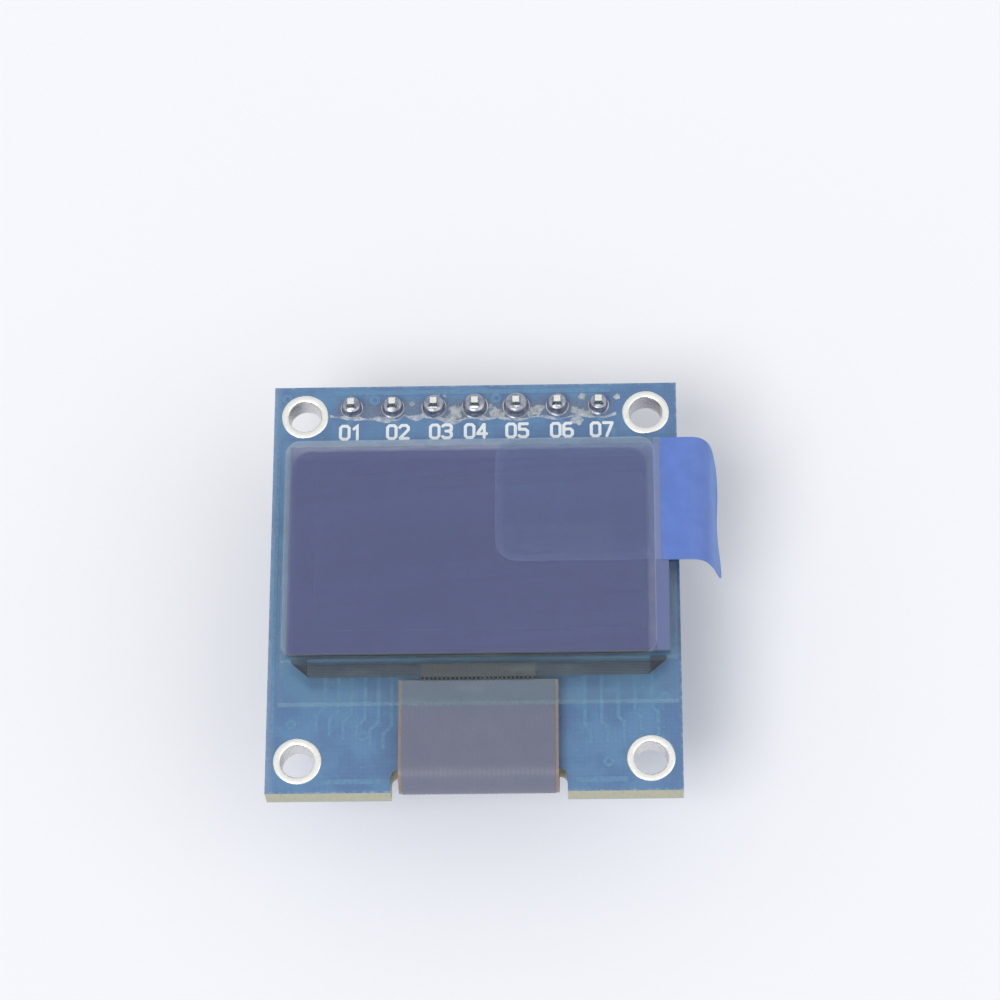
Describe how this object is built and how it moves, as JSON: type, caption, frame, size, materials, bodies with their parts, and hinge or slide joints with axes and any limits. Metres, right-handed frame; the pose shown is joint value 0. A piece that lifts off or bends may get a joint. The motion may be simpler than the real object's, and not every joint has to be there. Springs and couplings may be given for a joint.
{
  "type": "small oled module",
  "caption": "Small display module: dark glass display cell with a pull tab on a blue circuit board, corner holes, pin header behind and a flex cable folded round the edge.",
  "frame": {"origin": "centre of the four corner holes, on the board's display-side face", "axes": "+Z out of the display face, +Y towards the header edge, +X to the right of the upright display"},
  "size_m": [0.0274, 0.0264, 0.0125],
  "materials": {
    "board": "blue solder mask over glass-epoxy",
    "foam_tape": "dark double-sided foam tape",
    "glass": "thin polished display glass",
    "desiccant_sheet": "matt getter sheet",
    "polarizer": "dark polarizer film",
    "driver_chip": "bare silicon",
    "flex_cable": "dark coverlay over polyimide",
    "protective_film": "clear protective film",
    "tab_tape": "clear tape",
    "tab_grip": "blue film",
    "header_strip": "moulded black plastic",
    "hole_plating": "bright tinned copper",
    "header_pin": "plated brass pin",
    "solder": "solder",
    "lead_metal": "tinned lead",
    "resistor": "black-coated ceramic with tinned ends",
    "capacitor": "tan ceramic with tinned ends",
    "regulator_body": "moulded black epoxy"
  },
  "bodies": {
    "root": {"board": "board", "foam_tape": "foam_tape", "cap_glass": "glass", "desiccant_sheet": "desiccant_sheet", "substrate_glass": "glass", "polarizer": "polarizer", "driver_chip": "driver_chip", "flex_cable": "flex_cable", "flex_solder": "solder", "protective_film": "protective_film", "tab_tape": "tab_tape", "tab_grip": "tab_grip", "header_strip": "header_strip", "regulator_body": "regulator_body", "regulator_leads": "lead_metal", "component_solder": "solder", "hole_plating_1": "hole_plating", "hole_plating_2": "hole_plating", "hole_plating_3": "hole_plating", "hole_plating_4": "hole_plating", "header_pin_1": "header_pin", "header_pin_2": "header_pin", "header_pin_3": "header_pin", "header_pin_4": "header_pin", "header_pin_5": "header_pin", "header_pin_6": "header_pin", "header_pin_7": "header_pin", "solder_joint_1": "solder", "solder_joint_2": "solder", "solder_joint_3": "solder", "solder_joint_4": "solder", "solder_joint_5": "solder", "solder_joint_6": "solder", "solder_joint_7": "solder", "resistor_1": "resistor", "resistor_2": "resistor", "resistor_3": "resistor", "resistor_4": "resistor", "resistor_5": "resistor", "resistor_6": "resistor", "capacitor_1": "capacitor", "capacitor_2": "capacitor", "capacitor_3": "capacitor", "capacitor_4": "capacitor", "capacitor_5": "capacitor", "capacitor_6": "capacitor", "capacitor_7": "capacitor"}
  },
  "joints": []
}
